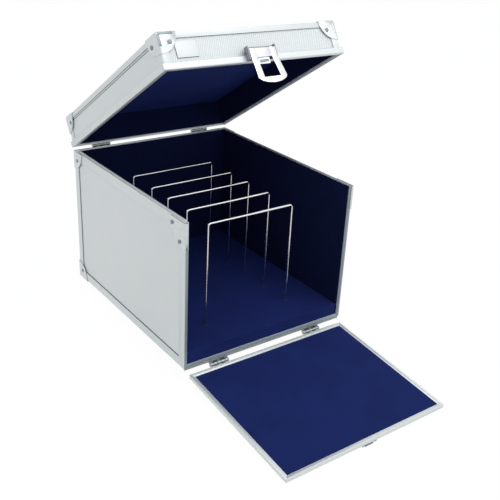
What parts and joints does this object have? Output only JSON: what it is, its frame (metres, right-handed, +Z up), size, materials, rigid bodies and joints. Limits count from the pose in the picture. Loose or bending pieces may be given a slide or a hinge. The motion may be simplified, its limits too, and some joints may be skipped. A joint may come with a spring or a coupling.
{
  "type": "aluminum document case",
  "caption": "Aluminium-framed document case with a hinged lid, a drop front, a front latch, a folding handle and wire dividers, shown open.",
  "frame": {"origin": "centre of the body's footprint, on the plane that the four rubber feet stand on", "axes": "+Z up; -Y towards the drop front and the latch, +Y towards the lid hinges; +X to the right seen from the front"},
  "size_m": [0.244, 0.4945, 0.4023],
  "materials": {
    "faced_board": "embossed aluminium facing on a thin board",
    "velvet": "short navy pile",
    "extrusion": "satin anodised",
    "corner_steel": "zinc plated pressing",
    "divider_wire": "bright plated wire",
    "foot_rubber": "matt black",
    "deck_board": "bare fibreboard, hidden",
    "fastener_steel": "plated",
    "hinge_steel": "plated",
    "latch_base_steel": "grey plated",
    "bright_steel": "bright plated",
    "grip_plastic": "black moulding"
  },
  "bodies": {
    "case_body": {"body_side_boards": "faced_board", "body_rear_board": "faced_board", "body_floor_board": "faced_board", "bottom_side_rails": "extrusion", "bottom_rear_rail": "extrusion", "rear_posts": "extrusion", "front_uprights": "extrusion", "front_sill": "extrusion", "top_side_rims": "extrusion", "top_rear_rim": "extrusion", "body_side_linings": "velvet", "body_rear_lining": "velvet", "floor_deck": "deck_board", "deck_battens": "deck_board", "deck_lining": "velvet", "divider_1": "divider_wire", "divider_2": "divider_wire", "divider_3": "divider_wire", "divider_4": "divider_wire", "divider_5": "divider_wire", "feet": "foot_rubber", "foot_screws": "fastener_steel", "front_caps": "corner_steel", "rear_caps": "corner_steel", "body_rivets": "fastener_steel", "flap_hinge_body_leaves": "hinge_steel", "flap_hinge_pins": "hinge_steel", "lid_hinge_body_leaves": "hinge_steel", "lid_hinge_pins": "hinge_steel"},
    "drop_front": {"flap_board": "faced_board", "flap_side_rails": "extrusion", "flap_hinge_rail": "extrusion", "flap_free_rail": "extrusion", "flap_lining": "velvet", "flap_catch": "bright_steel", "flap_rivets": "fastener_steel", "flap_hinge_flap_leaves": "hinge_steel"},
    "lid": {"lid_top_board": "faced_board", "lid_front_board": "faced_board", "lid_rear_board": "faced_board", "lid_side_boards": "faced_board", "lid_top_cross_rails": "extrusion", "lid_top_side_rails": "extrusion", "lid_posts": "extrusion", "lid_front_rim": "extrusion", "lid_rear_rim": "extrusion", "lid_side_rims": "extrusion", "lid_caps": "corner_steel", "lid_rivets": "fastener_steel", "lid_lining": "velvet", "lid_hinge_lid_leaves": "hinge_steel", "latch_base": "latch_base_steel", "latch_pin": "hinge_steel", "handle_brackets": "bright_steel"},
    "latch_lever": {"latch_lever": "bright_steel", "claw_pin": "hinge_steel"},
    "latch_claw": {"latch_claw": "bright_steel"},
    "handle": {"handle_bail": "bright_steel", "handle_grip": "grip_plastic"}
  },
  "joints": [
    {"name": "lid_hinge", "type": "hinge", "parent": "case_body", "child": "lid", "pos_m": [0, 0.147, 0.195], "axis": [-1, 0, 0], "range_deg": [-31.7, 63.3]},
    {"name": "flap_hinge", "type": "hinge", "parent": "case_body", "child": "drop_front", "pos_m": [0, -0.1419, 0.0046], "axis": [1, 0, 0], "range_deg": [-95.5, 0]},
    {"name": "lever_hinge", "type": "hinge", "parent": "lid", "child": "latch_lever", "pos_m": [0, -0.09821, 0.35937], "axis": [-1, 0, 0], "range_deg": [0, 95]},
    {"name": "claw_hinge", "type": "hinge", "parent": "latch_lever", "child": "latch_claw", "pos_m": [0, -0.1005, 0.35491], "axis": [-1, 0, 0], "range_deg": [0, 15], "stiffness_Nm_per_rad": 0.02, "springref_deg": -17.19},
    {"name": "handle_hinge", "type": "hinge", "parent": "lid", "child": "handle", "pos_m": [0, 0.04555, 0.31049], "axis": [1, 0, 0], "range_deg": [0, 180]}
  ]
}
